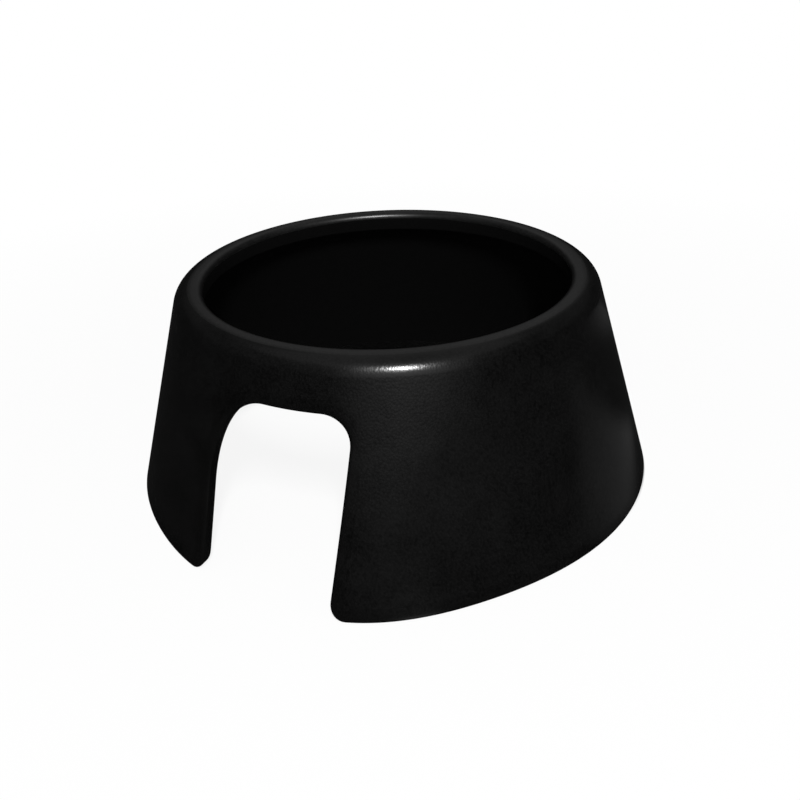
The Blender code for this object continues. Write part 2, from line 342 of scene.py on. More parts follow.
def leather_grain(tree, place):
    """Relief of the leather grain, as deep as the mesh's own grain share there, and its normals."""
    drawn = {"Vector": place, "Scale": (1.0, 1.0, 1 / PEBBLE_STRETCH)}
    place = add_node(tree, "ShaderNodeMapping", None, drawn).outputs[0]
    slow = {"Vector": place, "Scale": 1 / PEBBLE_WANDER, "Detail": 1.0}
    around = {0: add_node(tree, "ShaderNodeTexNoise", None, slow).outputs["Color"], 1: (0.5, 0.5, 0.5)}
    centred = add_node(tree, "ShaderNodeVectorMath", {"operation": "SUBTRACT"}, around)
    stray = {0: centred.outputs[0], "Scale": PEBBLE_STRAY * PEBBLE}
    shift = add_node(tree, "ShaderNodeVectorMath", {"operation": "SCALE"}, stray)
    bent = add_node(tree, "ShaderNodeVectorMath", {"operation": "ADD"}, {0: place, 1: shift.outputs[0]})
    cells = {"Vector": bent.outputs[0], "Scale": 1 / PEBBLE, "Smoothness": PEBBLE_BLEND}
    pebbles = add_node(tree, "ShaderNodeTexVoronoi", {"feature": "SMOOTH_F1"}, cells)
    fine = {"Vector": place, "Scale": 1 / PORE, "Detail": 2.0}
    pores = add_node(tree, "ShaderNodeTexNoise", None, fine)
    layers = {0: pores.outputs[0], 1: PORE_SHARE, 2: pebbles.outputs["Distance"]}
    sunk = {0: PEBBLE_MIDDLE, 1: add_node(tree, "ShaderNodeMath", TIMES_PLUS, layers).outputs[0]}
    relief = add_node(tree, "ShaderNodeMath", {"operation": "SUBTRACT"}, sunk).outputs[0]
    share = add_node(tree, "ShaderNodeAttribute", {"attribute_name": "grain"}).outputs["Fac"]
    grown = add_node(tree, "ShaderNodeMath", TIMES, {0: relief, 1: share}).outputs[0]
    height = {"Height": grown, "Strength": 1.0, "Distance": PEBBLE_DEPTH}
    return grown, add_node(tree, "ShaderNodeBump", None, height).outputs[0]


# Black ABS, moulded against an etched leather grain: satin, with pebbles half a millimetre and more
# across that break up the edge of a highlight, and faint clouds where hands have polished it.
ABS_TONE = (linear("#040404"), linear("#101010"))
ABS_ROUGHNESS = (0.20, 0.24)

grained_abs = bpy.data.materials.new("black_abs_leather_grain")
grained_abs.use_nodes = True
tree = grained_abs.node_tree
shader = tree.nodes["Principled BSDF"]
place = add_node(tree, "ShaderNodeTexCoord").outputs["Object"]
marks = {"Vector": place, "Scale": 1 / CLOUD, "Detail": 4.0, "Roughness": 0.6}
clouds = add_node(tree, "ShaderNodeTexNoise", None, marks).outputs[0]
polish = add_node(
    tree,
    "ShaderNodeMapRange",
    None,
    {
        "Value": clouds,
        "From Min": CLOUD_RANGE[0],
        "From Max": CLOUD_RANGE[1],
        "To Min": ABS_ROUGHNESS[0],
        "To Max": ABS_ROUGHNESS[1],
    },
)
relief, normals = leather_grain(tree, place)
paler = add_node(tree, "ShaderNodeMath", TIMES_PLUS, {0: relief, 1: PEBBLE_PALER, 2: clouds})
tone = add_node(tree, "ShaderNodeMix", MIXED, {0: paler.outputs[0], 6: ABS_TONE[0], 7: ABS_TONE[1]})
tree.links.new(tone.outputs[2], shader.inputs["Base Color"])
tree.links.new(polish.outputs[0], shader.inputs["Roughness"])
tree.links.new(normals, shader.inputs["Normal"])
shader.inputs["IOR"].default_value = POLYMER_IOR

# The same ABS off the mould's core, which was only spark-eroded: dead matt with a fine even texture.
# Its tone is darker than the outside's as painted shade, so that the inside stays near black.
CORE_TONE_PAINTED_SHADE = (linear("#030303"), linear("#0a0a0a"))
CORE_DEPTH = PEBBLE_DEPTH / 3
CORE_ROUGHNESS = 0.9
CORE_SHEEN = 0.05

core_abs_painted_shade = bpy.data.materials.new("black_abs_matt_core")
core_abs_painted_shade.use_nodes = True
tree = core_abs_painted_shade.node_tree
shader = tree.nodes["Principled BSDF"]
place = add_node(tree, "ShaderNodeTexCoord").outputs["Object"]
fine = {"Vector": place, "Scale": 1 / PORE, "Detail": 2.0}
spark = add_node(tree, "ShaderNodeTexNoise", None, fine).outputs[0]
bump = add_node(tree, "ShaderNodeBump", None, {"Height": spark, "Strength": 1.0, "Distance": CORE_DEPTH})
tone = add_node(tree, "ShaderNodeMix", MIXED, {0: spark, 6: CORE_TONE_PAINTED_SHADE[0], 7: CORE_TONE_PAINTED_SHADE[1]})
tree.links.new(tone.outputs[2], shader.inputs["Base Color"])
tree.links.new(bump.outputs[0], shader.inputs["Normal"])
shader.inputs["Roughness"].default_value = CORE_ROUGHNESS
shader.inputs["Specular IOR Level"].default_value = CORE_SHEEN

skirt_mesh.materials.append(grained_abs)
skirt_mesh.materials.append(core_abs_painted_shade)
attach(skirt, "root")
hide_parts("grained_skirt")

# Edge trim: a soft U-section strip in black thermoplastic elastomer. It is extruded straight and
# pushed on the skirt's tongue, round the whole base and up, over and down the notch.
TRIM_ROUND = 0.0010
TRIM_INNER_ROUND = 0.0005
ROUND_STEPS = 7
TRIM_GRAIN = 0.0019  # the grain is full this far from the free edge, and gone at the rounding
trim_leaf = tongue_near - CLEARANCE


def corner_points(centre_u, centre_v, radius, start, end, steps):
    """Points of a rounded corner of a section, at degrees from start to end."""
    points = []
    for step in range(steps + 1):
        angle = math.radians(start + (end - start) * step / steps)
        points.append((centre_u + radius * math.cos(angle), centre_v + radius * math.sin(angle)))
    return points


def trim_outline():
    """The trim cut across, by its distance in from the free edge and its depth in the wall."""
    points = [(TRIM_WIDTH, 0.0), (TRIM_GRAIN, 0.0)]
    points += corner_points(TRIM_ROUND, TRIM_ROUND, TRIM_ROUND, 270, 180, ROUND_STEPS)
    far = wall_depth - TRIM_INNER_ROUND
    points += corner_points(TRIM_INNER_ROUND, far, TRIM_INNER_ROUND, 180, 90, ROUND_STEPS)
    points += [(TRIM_WIDTH, wall_depth), (TRIM_WIDTH, wall_depth - trim_leaf)]
    return points + [(TRIM_BED, wall_depth - trim_leaf), (TRIM_BED, trim_leaf), (TRIM_WIDTH, trim_leaf)]


def loop_object(name, points):
    """A closed chain of edges, to be a path or a section."""
    count = len(points)
    mesh = bpy.data.meshes.new(name)
    mesh.from_pydata(points, [(at, (at + 1) % count) for at in range(count)], [])
    thing = bpy.data.objects.new(name, mesh)
    bpy.context.scene.collection.objects.link(thing)
    return thing


def add_input(tree, name, kind):
    tree.interface.new_socket(name, in_out="INPUT", socket_type=kind)


def made_by(tree, thing, settings):
    """Runs a geometry tree on an object, with its inputs set, and leaves the object a plain mesh."""
    modifier = thing.modifiers.new(tree.name, "NODES")
    modifier.node_group = tree
    for item in tree.interface.items_tree:
        if item.item_type == "SOCKET" and item.name in settings:
            modifier[item.identifier] = settings[item.name]
    bpy.context.view_layer.update()
    depsgraph = bpy.context.evaluated_depsgraph_get()
    mesh = bpy.data.meshes.new_from_object(thing.evaluated_get(depsgraph), depsgraph=depsgraph)
    thing.modifiers.remove(modifier)
    thing.data = mesh
    mesh.name = thing.name
    bm = bmesh.new()
    bm.from_mesh(mesh)
    bmesh.ops.recalc_face_normals(bm, faces=bm.faces)
    bm.to_mesh(mesh)
    bm.free()
    mesh.shade_smooth()
    mesh.set_sharp_from_angle(angle=SHARP)


trim_path = [wall_point(*station(0.0, 0.0), 0.0) for station, _ in edge]
trim = loop_object("edge_strip", trim_path)
directions = {"into": [], "across": [], "twist": []}
for (station, _), start in zip(edge, trim_path):
    into = wall_point(*station(TRIM_WIDTH, 0.0), 0.0) - start
    across = wall_point(*station(0.0, wall_depth), wall_depth) - start
    corner = wall_point(*station(TRIM_WIDTH, wall_depth), wall_depth) - start
    directions["into"].append(into)
    directions["across"].append(across)
    directions["twist"].append(corner - into - across)
for name, vectors in directions.items():
    layer = trim.data.attributes.new(name, "FLOAT_VECTOR", "POINT")
    layer.data.foreach_set("vector", [value for vector in vectors for value in vector])
trim_shares = [(inset / TRIM_WIDTH, depth / wall_depth, 0.0) for inset, depth in trim_outline()]
trim_section = loop_object("edge_strip_section", trim_shares)

# The path carries, at each point, how the strip lies in the wall there. The section is drawn in
# shares of the strip's width and the wall's depth, and is set out along those directions.
sweep = bpy.data.node_groups.new("strip_along_free_edge", "GeometryNodeTree")
add_input(sweep, "Free edge", "NodeSocketGeometry")
add_input(sweep, "Section", "NodeSocketObject")
add_input(sweep, "Width share", "NodeSocketFloat")
add_input(sweep, "Finish", "NodeSocketMaterial")
sweep.interface.new_socket("Strip", in_out="OUTPUT", socket_type="NodeSocketGeometry")
given = add_node(sweep, "NodeGroupInput").outputs
here = add_node(sweep, "GeometryNodeInputPosition").outputs[0]
drawn = add_node(sweep, "GeometryNodeObjectInfo", None, {"Object": given["Section"]})
section_curve = add_node(sweep, "GeometryNodeMeshToCurve", None, {"Mesh": drawn.outputs["Geometry"]})
path_curve = add_node(sweep, "GeometryNodeMeshToCurve", None, {"Mesh": given["Free edge"]})
kept = {}
for name, curve in (("share", section_curve), ("start", path_curve)):
    kept[name] = add_node(
        sweep,
        "GeometryNodeStoreNamedAttribute",
        {"data_type": "FLOAT_VECTOR", "domain": "POINT"},
        {"Geometry": curve.outputs[0], "Name": name, "Value": here},
    ).outputs[0]
curves = {"Curve": kept["start"], "Profile Curve": kept["share"]}
swept = add_node(sweep, "GeometryNodeCurveToMesh", None, curves)
named = {}
for name in ("start", "share", "into", "across", "twist"):
    kind = {"data_type": "FLOAT_VECTOR"}
    reader = add_node(sweep, "GeometryNodeInputNamedAttribute", kind, {"Name": name})
    named[name] = reader.outputs[0]
across, deep, _ = add_node(sweep, "ShaderNodeSeparateXYZ", None, {0: named["share"]}).outputs
wide = add_node(sweep, "ShaderNodeMath", TIMES, {0: across, 1: given["Width share"]}).outputs[0]
both = add_node(sweep, "ShaderNodeMath", TIMES, {0: wide, 1: deep}).outputs[0]
laid = named["start"]
for name, share in (("into", wide), ("across", deep), ("twist", both)):
    along = {0: named[name], "Scale": share}
    step = add_node(sweep, "ShaderNodeVectorMath", {"operation": "SCALE"}, along)
    further = {0: laid, 1: step.outputs[0]}
    laid = add_node(sweep, "ShaderNodeVectorMath", {"operation": "ADD"}, further).outputs[0]
moved = add_node(sweep, "GeometryNodeSetPosition", None, {"Geometry": swept.outputs[0], "Position": laid})
inset = {"Value": across, "From Min": TRIM_ROUND / TRIM_WIDTH, "From Max": TRIM_GRAIN / TRIM_WIDTH}
outside = {0: deep, 1: TRIM_ROUND / wall_depth}
grain_shares = {
    0: add_node(sweep, "ShaderNodeMapRange", None, inset).outputs[0],
    1: add_node(sweep, "ShaderNodeMath", {"operation": "LESS_THAN"}, outside).outputs[0],
}
grain_share = add_node(sweep, "ShaderNodeMath", TIMES, grain_shares).outputs[0]
grained = add_node(
    sweep,
    "GeometryNodeStoreNamedAttribute",
    {"data_type": "FLOAT", "domain": "POINT"},
    {"Geometry": moved.outputs[0], "Name": "grain", "Value": grain_share},
)
plain = add_node(sweep, "GeometryNodeRealizeInstances", None, {"Geometry": grained.outputs[0]})
finish = {"Geometry": plain.outputs[0], "Material": given["Finish"]}
dressed = add_node(sweep, "GeometryNodeSetMaterial", None, finish)
add_node(sweep, "NodeGroupOutput", None, {"Strip": dressed.outputs[0]})

# Black thermoplastic elastomer, extruded and rolled with the wall's leather grain while soft. The
# grain runs out towards the rounded edge, which is smooth and low in sheen.
STRIP_TONE = (linear("#030303"), linear("#0e0e0e"))
STRIP_ROUGHNESS = (0.21, 0.25)
STRIP_SHEEN = 0.46

strip_elastomer = bpy.data.materials.new("black_elastomer_extruded")
strip_elastomer.use_nodes = True
tree = strip_elastomer.node_tree
shader = tree.nodes["Principled BSDF"]
place = add_node(tree, "ShaderNodeTexCoord").outputs["Object"]
marks = {"Vector": place, "Scale": 1 / CLOUD, "Detail": 4.0}
worn = add_node(tree, "ShaderNodeTexNoise", None, marks).outputs[0]
relief, normals = leather_grain(tree, place)
paler = add_node(tree, "ShaderNodeMath", TIMES_PLUS, {0: relief, 1: PEBBLE_PALER, 2: worn})
tone = add_node(tree, "ShaderNodeMix", MIXED, {0: paler.outputs[0], 6: STRIP_TONE[0], 7: STRIP_TONE[1]})
dryness = add_node(
    tree,
    "ShaderNodeMapRange",
    None,
    {
        "Value": worn,
        "From Min": CLOUD_RANGE[0],
        "From Max": CLOUD_RANGE[1],
        "To Min": STRIP_ROUGHNESS[0],
        "To Max": STRIP_ROUGHNESS[1],
    },
)
tree.links.new(tone.outputs[2], shader.inputs["Base Color"])
tree.links.new(dryness.outputs[0], shader.inputs["Roughness"])
tree.links.new(normals, shader.inputs["Normal"])
shader.inputs["IOR"].default_value = POLYMER_IOR
shader.inputs["Specular IOR Level"].default_value = STRIP_SHEEN

made_by(sweep, trim, {"Section": trim_section, "Width share": 1.0, "Finish": strip_elastomer})
bpy.data.objects.remove(trim_section)
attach(trim, "root")
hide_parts("edge_trim")

# Rim lip: the smooth ring round the mouth that a bowl sits on. It is moulded in the same black
# elastomer, lies flush in the skirt's rebate and grips the flange's edge with a hooked groove.
LIP_HOOK = 0.0014
LIP_HOOK_LEAF = 0.0012
LIP_HOOK_ROUND = 0.0005
LIP_INNER_STEPS = 10
LIP_CROWN_STEPS = 16
LIP_ROUND_STEPS = 288


def lip_outline():
    """Section of the lip, by its reach out from the mouth and its drop below the top."""
    hook_radius = flange_edge + LIP_HOOK
    groove_radius = flange_edge - CLEARANCE
    leaf_bottom = flange_top + CLEARANCE
    hook_top = flange_bottom - CLEARANCE
    hook_bottom = hook_top - LIP_HOOK_LEAF
    hook = LIP_HOOK_ROUND
    inner = LIP_INNER_ROUND
    points = [(lip_radius, leaf_bottom), (groove_radius, leaf_bottom)]
    points += [(groove_radius, hook_top), (hook_radius, hook_top), (hook_radius, hook_bottom)]
    points += corner_points(opening_radius + hook, hook_bottom + hook, hook, 270, 180, ROUND_STEPS)
    points += corner_points(land_start, HEIGHT - inner, inner, 180, 90, LIP_INNER_STEPS)
    for step in range(LIP_CROWN_STEPS + 1):
        radius = crown_start + (lip_radius - crown_start) * step / LIP_CROWN_STEPS
        points.append((radius, crown_height(radius)))
    return [(radius - opening_radius, HEIGHT - height, 0.0) for radius, height in points]


# The ring starts from a bare line down its axis, because its tree draws the mouth by itself.
lip = loop_object("mouth_ring", [(0.0, 0.0, 0.0), (0.0, 0.0, HEIGHT)])
lip_section = loop_object("mouth_ring_section", lip_outline())

# The section is turned round the mouth's circle, with its drop running down from the lip's top.
turning = bpy.data.node_groups.new("section_round_mouth", "GeometryNodeTree")
add_input(turning, "Geometry", "NodeSocketGeometry")
add_input(turning, "Section", "NodeSocketObject")
add_input(turning, "Mouth radius", "NodeSocketFloat")
add_input(turning, "Top height", "NodeSocketFloat")
add_input(turning, "Steps round", "NodeSocketInt")
add_input(turning, "Finish", "NodeSocketMaterial")
turning.interface.new_socket("Ring", in_out="OUTPUT", socket_type="NodeSocketGeometry")
given = add_node(turning, "NodeGroupInput").outputs
round_mouth = {"Resolution": given["Steps round"], "Radius": given["Mouth radius"]}
mouth = add_node(turning, "GeometryNodeCurvePrimitiveCircle", {"mode": "RADIUS"}, round_mouth)
level = add_node(turning, "GeometryNodeSetCurveNormal", {"mode": "Z_UP"}, {"Curve": mouth.outputs[0]})
drawn = add_node(turning, "GeometryNodeObjectInfo", None, {"Object": given["Section"]})
section_curve = add_node(turning, "GeometryNodeMeshToCurve", None, {"Mesh": drawn.outputs["Geometry"]})
curves = {"Curve": level.outputs[0], "Profile Curve": section_curve.outputs[0]}
turned = add_node(turning, "GeometryNodeCurveToMesh", None, curves)
lift = add_node(turning, "ShaderNodeCombineXYZ", None, {"Z": given["Top height"]})
lifted = {"Geometry": turned.outputs[0], "Translation": lift.outputs[0]}
raised = add_node(turning, "GeometryNodeTransform", None, lifted)
plain = add_node(turning, "GeometryNodeRealizeInstances", None, {"Geometry": raised.outputs[0]})
finish = {"Geometry": plain.outputs[0], "Material": given["Finish"]}
dressed = add_node(turning, "GeometryNodeSetMaterial", None, finish)
add_node(turning, "NodeGroupOutput", None, {"Ring": dressed.outputs[0]})

# Black thermoplastic elastomer, moulded: smoother than the extruded strip but a little duller and
# greyer, with the faint mottle of a soft skin.
SKIN = 0.0008  # size of the fine unevenness of the skin
SKIN_DEPTH = 0.000012
SKIN_MOTTLE = 2.0  # how much the skin's tone follows that, as a share of the range of tone
LIP_TONE = (linear("#080808"), linear("#171717"))
LIP_ROUGHNESS = (0.30, 0.36)

lip_elastomer = bpy.data.materials.new("black_elastomer_moulded")
lip_elastomer.use_nodes = True
tree = lip_elastomer.node_tree
shader = tree.nodes["Principled BSDF"]
place = add_node(tree, "ShaderNodeTexCoord").outputs["Object"]
fine = {"Vector": place, "Scale": 1 / SKIN, "Detail": 3.0}
skin = add_node(tree, "ShaderNodeTexNoise", None, fine).outputs[0]
bump = add_node(tree, "ShaderNodeBump", None, {"Height": skin, "Strength": 1.0, "Distance": SKIN_DEPTH})
marks = {"Vector": place, "Scale": 1 / CLOUD, "Detail": 4.0}
worn = add_node(tree, "ShaderNodeTexNoise", None, marks).outputs[0]
uneven = add_node(tree, "ShaderNodeMath", {"operation": "SUBTRACT"}, {0: skin, 1: 0.5})
paler = add_node(tree, "ShaderNodeMath", TIMES_PLUS, {0: uneven.outputs[0], 1: SKIN_MOTTLE, 2: worn})
tone = add_node(tree, "ShaderNodeMix", MIXED, {0: paler.outputs[0], 6: LIP_TONE[0], 7: LIP_TONE[1]})
dryness = add_node(
    tree,
    "ShaderNodeMapRange",
    None,
    {
        "Value": worn,
        "From Min": CLOUD_RANGE[0],
        "From Max": CLOUD_RANGE[1],
        "To Min": LIP_ROUGHNESS[0],
        "To Max": LIP_ROUGHNESS[1],
    },
)
tree.links.new(tone.outputs[2], shader.inputs["Base Color"])
tree.links.new(dryness.outputs[0], shader.inputs["Roughness"])
tree.links.new(bump.outputs[0], shader.inputs["Normal"])
shader.inputs["IOR"].default_value = POLYMER_IOR

lip_sizes = {"Section": lip_section, "Mouth radius": opening_radius, "Top height": HEIGHT}
made_by(turning, lip, {**lip_sizes, "Steps round": LIP_ROUND_STEPS, "Finish": lip_elastomer})
bpy.data.objects.remove(lip_section)

# Below its rounded edge, inside the mouth, the lip takes the core's finish, darker as painted shade.
lip.data.materials.append(core_abs_painted_shade)
for face in lip.data.polygons:
    if face.center.z < HEIGHT - LIP_INNER_ROUND:
        face.material_index = 1
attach(lip, "root")
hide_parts("rim_lip")

# Stage: a round white board under the ring. The board and the space beyond it show white to the
# camera and in reflections, and the board still takes the ring's shadow. Inside the back of the
# ring it is painted near black for the camera and reflections alone: a painted shadow no lamp casts.
SMOOTH = {"interpolation_type": "SMOOTHSTEP"}
BOARD_RADIUS = 0.30
BOARD_DROP = 0.0001
BOARD_STEPS = 128
BOARD_GREY = linear("#f4f4f4")
BOARD_GLOW = 0.9  # how much of its look is plain white near the ring
WHITE = linear("#ffffff")
BOARD_WHITE = (BOARD_RADIUS / 3, 0.95 * BOARD_RADIUS)  # radii between which it turns fully white
# Painted shade on the board inside the back of the ring: its radii, its reach back, and its grey.
SHADE_START = (0.050, 0.061)  # radii between which it darkens inside the ring
SHADE_BACK = (-0.012, 0.045)  # and distances back from the axis between which it does so
PAINTED_SHADE_GREY = linear("#050505")

bm = bmesh.new()
bmesh.ops.create_circle(bm, cap_ends=True, radius=BOARD_RADIUS, segments=BOARD_STEPS)
bmesh.ops.translate(bm, verts=bm.verts, vec=(0.0, 0.0, -BOARD_DROP))
board_mesh = bpy.data.meshes.new("board")
bm.to_mesh(board_mesh)
bm.free()
board = bpy.data.objects.new("board", board_mesh)
bpy.context.scene.collection.objects.link(board)
board_white = bpy.data.materials.new("white_board")
board_white.use_nodes = True
tree = board_white.node_tree
tree.nodes.clear()


def seen_directly(tree):
    """1 for what the camera sees, straight, mirrored or through glass, and 0 for other light."""
    ray = add_node(tree, "ShaderNodeLightPath").outputs
    seen = ray["Is Camera Ray"]
    for other in ("Is Glossy Ray", "Is Transmission Ray"):
        either = {0: seen, 1: ray[other]}
        seen = add_node(tree, "ShaderNodeMath", {"operation": "MAXIMUM"}, either).outputs[0]
    return seen


place = add_node(tree, "ShaderNodeTexCoord").outputs["Object"]
reach = add_node(tree, "ShaderNodeVectorMath", {"operation": "LENGTH"}, {0: place}).outputs["Value"]
whiter = {"Value": reach, "From Min": BOARD_WHITE[0], "From Max": BOARD_WHITE[1], "To Min": BOARD_GLOW}
whiteness = add_node(tree, "ShaderNodeMapRange", None, whiter).outputs[0]
seen = seen_directly(tree)
share = add_node(tree, "ShaderNodeMath", TIMES, {0: seen, 1: whiteness}).outputs[0]
matt = add_node(tree, "ShaderNodeBsdfDiffuse", None, {"Color": BOARD_GREY}).outputs[0]
glow = add_node(tree, "ShaderNodeEmission", None, {"Color": WHITE, "Strength": 1.0}).outputs[0]
lit = add_node(tree, "ShaderNodeMixShader", None, {0: share, 1: matt, 2: glow}).outputs[0]
# The painted shadow: near black for the camera and reflections, where these limits all meet.
inside = {"Value": reach, "From Min": SHADE_START[0], "From Max": SHADE_START[1]}
back = add_node(tree, "ShaderNodeSeparateXYZ", None, {0: place}).outputs["Y"]
behind = {"Value": back, "From Min": SHADE_BACK[0], "From Max": SHADE_BACK[1]}
under = {0: reach, 1: BASE_RADIUS}
painted_shade_share = seen
for limit in (
    add_node(tree, "ShaderNodeMapRange", SMOOTH, inside),
    add_node(tree, "ShaderNodeMapRange", SMOOTH, behind),
    add_node(tree, "ShaderNodeMath", {"operation": "LESS_THAN"}, under),
):
    painted_shade_share = add_node(tree, "ShaderNodeMath", TIMES, {0: painted_shade_share, 1: limit.outputs[0]}).outputs[0]
dark = add_node(tree, "ShaderNodeBsdfDiffuse", None, {"Color": PAINTED_SHADE_GREY}).outputs[0]
laid = add_node(tree, "ShaderNodeMixShader", None, {0: painted_shade_share, 1: lit, 2: dark})
add_node(tree, "ShaderNodeOutputMaterial", None, {"Surface": laid.outputs[0]})
board_mesh.materials.append(board_white)

# Black cloth all round the set and under the ring, so that the black wall mirrors a dark room.
# Higher up it is paler, at the back and overhead, which the rim mirrors. Only reflections see it.
CLOTH_RADIUS = 0.55
CLOTH_HEIGHT = 1.0
CLOTH_STEPS = 96
CLOTH_LOW = linear("#1e1e1e")
CLOTH_HIGH = linear("#7c7c7c")
CLOTH_FADE = (0.18, 0.31)  # heights between which it turns paler
CLOTH_BACK = math.radians(-157.0)  # the azimuth where that is most
CLOTH_SIDES = (math.cos(math.radians(32.0)), math.cos(math.radians(15.0)))  # faded, and full
CLOTH_OVERHEAD = (0.95, 0.50)  # it is overhead where its reach is this share of its height
CLOTH_REST = 0.15  # how much of the paler cloth is left at the other sides


def stage_object(name, bm, colour):
    """A piece of the set that glows in its own greys and is seen in reflections alone."""
    mesh = bpy.data.meshes.new(name)
    bm.to_mesh(mesh)
    bm.free()
    thing = bpy.data.objects.new(name, mesh)
    bpy.context.scene.collection.objects.link(thing)
    material = bpy.data.materials.new(name)
    material.use_nodes = True
    tree = material.node_tree
    tree.nodes.clear()
    glow = add_node(tree, "ShaderNodeEmission", None, {"Color": colour(tree)})
    add_node(tree, "ShaderNodeOutputMaterial", None, {"Surface": glow.outputs[0]})
    mesh.materials.append(material)
    for ray in ("camera", "diffuse", "transmission", "volume_scatter", "shadow"):
        setattr(thing, "visible_" + ray, False)


def cloth_colour(tree):
    place = add_node(tree, "ShaderNodeTexCoord").outputs["Object"]
    height = add_node(tree, "ShaderNodeSeparateXYZ", None, {0: place}).outputs["Z"]
    level = {0: place, 1: (1.0, 1.0, 0.0)}
    flat = add_node(tree, "ShaderNodeVectorMath", TIMES, level).outputs[0]
    outward = add_node(tree, "ShaderNodeVectorMath", {"operation": "NORMALIZE"}, {0: flat}).outputs[0]
    facing = {0: outward, 1: polar(CLOTH_BACK, 1.0, 0.0)}
    turn = add_node(tree, "ShaderNodeVectorMath", {"operation": "DOT_PRODUCT"}, facing).outputs["Value"]
    reach = add_node(tree, "ShaderNodeVectorMath", {"operation": "LENGTH"}, {0: flat}).outputs["Value"]
    slope = add_node(tree, "ShaderNodeMath", {"operation": "DIVIDE"}, {0: reach, 1: height}).outputs[0]
    fade = {"Value": height, "From Min": CLOTH_FADE[0], "From Max": CLOTH_FADE[1]}
    sides = {"Value": turn, "From Min": CLOTH_SIDES[0], "From Max": CLOTH_SIDES[1], "To Min": CLOTH_REST}
    above = {"Value": slope, "From Min": CLOTH_OVERHEAD[0], "From Max": CLOTH_OVERHEAD[1]}
    rise = add_node(tree, "ShaderNodeMapRange", SMOOTH, fade).outputs[0]
    back = add_node(tree, "ShaderNodeMapRange", SMOOTH, sides).outputs[0]
    over = add_node(tree, "ShaderNodeMapRange", SMOOTH, above).outputs[0]
    kept = add_node(tree, "ShaderNodeMath", {"operation": "MAXIMUM"}, {0: back, 1: over}).outputs[0]
    share = add_node(tree, "ShaderNodeMath", TIMES, {0: rise, 1: kept}).outputs[0]
    return add_node(tree, "ShaderNodeMix", MIXED, {0: share, 6: CLOTH_LOW, 7: CLOTH_HIGH}).outputs[2]


bm = bmesh.new()
bmesh.ops.create_cone(
    bm,
    cap_ends=True,
    segments=CLOTH_STEPS,
    radius1=CLOTH_RADIUS,
    radius2=CLOTH_RADIUS,
    depth=CLOTH_HEIGHT,
)
bmesh.ops.translate(bm, verts=bm.verts, vec=(0.0, 0.0, CLOTH_HEIGHT / 2 - BOARD_DROP / 2))
stage_object("black_cloth", bm, cloth_colour)

# A soft grey patch on the cloth to the right, which makes the glow at the wall's right edge. It is
# a slanting band that dims as it runs out, with a second and fainter one behind it.
PATCH_PLACE = (0.20, 0.07, -BOARD_DROP / 4)
PATCH_RADIUS = 0.16
PATCH_STEPS = 64
PATCH_SLOPE = 0.5  # how far back the band runs for each metre to the right
PATCH_FRONT = (-0.076, -0.036)  # its front edge, and where it is full
PATCH_BACK = (0.026, 0.000)  # its back edge, and where it is full
PATCH_FAR = (0.08, 0.34)  # it dims from the one X to the other
PATCH_FAR_SHARE = 0.15
PATCH_BEHIND = (0.085, 0.130)  # where the second band begins
PATCH_BEHIND_SHARE = 0.7
PATCH_START = (0.068, 0.076)  # both begin this far from the axis, and further towards the back
PATCH_BACKWARD = 0.3
PATCH_GREY = linear("#5a5a5a")


def patch_colour(tree):
    place = add_node(tree, "ShaderNodeTexCoord").outputs["Object"]
    x, y, _ = add_node(tree, "ShaderNodeSeparateXYZ", None, {0: place}).outputs
    aside = add_node(tree, "ShaderNodeMath", TIMES_PLUS, {0: x, 1: -PATCH_SLOPE, 2: y}).outputs[0]
    reach = add_node(tree, "ShaderNodeVectorMath", {"operation": "LENGTH"}, {0: place}).outputs["Value"]
    back = add_node(tree, "ShaderNodeMath", {"operation": "MAXIMUM"}, {0: y, 1: 0.0}).outputs[0]
    nearer = {0: back, 1: -PATCH_BACKWARD, 2: reach}
    beside = add_node(tree, "ShaderNodeMath", TIMES_PLUS, nearer).outputs[0]
    steps = []
    for value, (start, end) in (
        (aside, PATCH_FRONT),
        (aside, PATCH_BACK),
        (aside, PATCH_BEHIND),
        (beside, PATCH_START),
    ):
        span = {"Value": value, "From Min": start, "From Max": end}
        steps.append(add_node(tree, "ShaderNodeMapRange", SMOOTH, span).outputs[0])
    front, rear, behind, begun = steps
    far = {
        "Value": x,
        "From Min": PATCH_FAR[0],
        "From Max": PATCH_FAR[1],
        "To Min": 1.0,
        "To Max": PATCH_FAR_SHARE,
    }
    dimmed = add_node(tree, "ShaderNodeMapRange", None, far).outputs[0]
    within = add_node(tree, "ShaderNodeMath", TIMES, {0: front, 1: rear}).outputs[0]
    band = add_node(tree, "ShaderNodeMath", TIMES, {0: within, 1: dimmed}).outputs[0]
    second = add_node(tree, "ShaderNodeMath", TIMES, {0: behind, 1: PATCH_BEHIND_SHARE}).outputs[0]
    both = add_node(tree, "ShaderNodeMath", {"operation": "MAXIMUM"}, {0: band, 1: second}).outputs[0]
    share = add_node(tree, "ShaderNodeMath", TIMES, {0: both, 1: begun}).outputs[0]
    return add_node(tree, "ShaderNodeMix", MIXED, {0: share, 6: CLOTH_LOW, 7: PATCH_GREY}).outputs[2]


bm = bmesh.new()
bmesh.ops.create_circle(bm, cap_ends=True, radius=PATCH_RADIUS, segments=PATCH_STEPS)
bmesh.ops.translate(bm, verts=bm.verts, vec=PATCH_PLACE)
stage_object("grey_patch", bm, patch_colour)

# A small pale slip on the floor before the right leg, with soft edges. It is mirrored low down, by
# the rounded foot of the trim.
SLIP_AZIMUTH = math.radians(30.0)
SLIP_REACH = 0.079
SLIP_RADIUS = 0.010
SLIP_STEPS = 32
SLIP_GREY = linear("#b0b0b0")


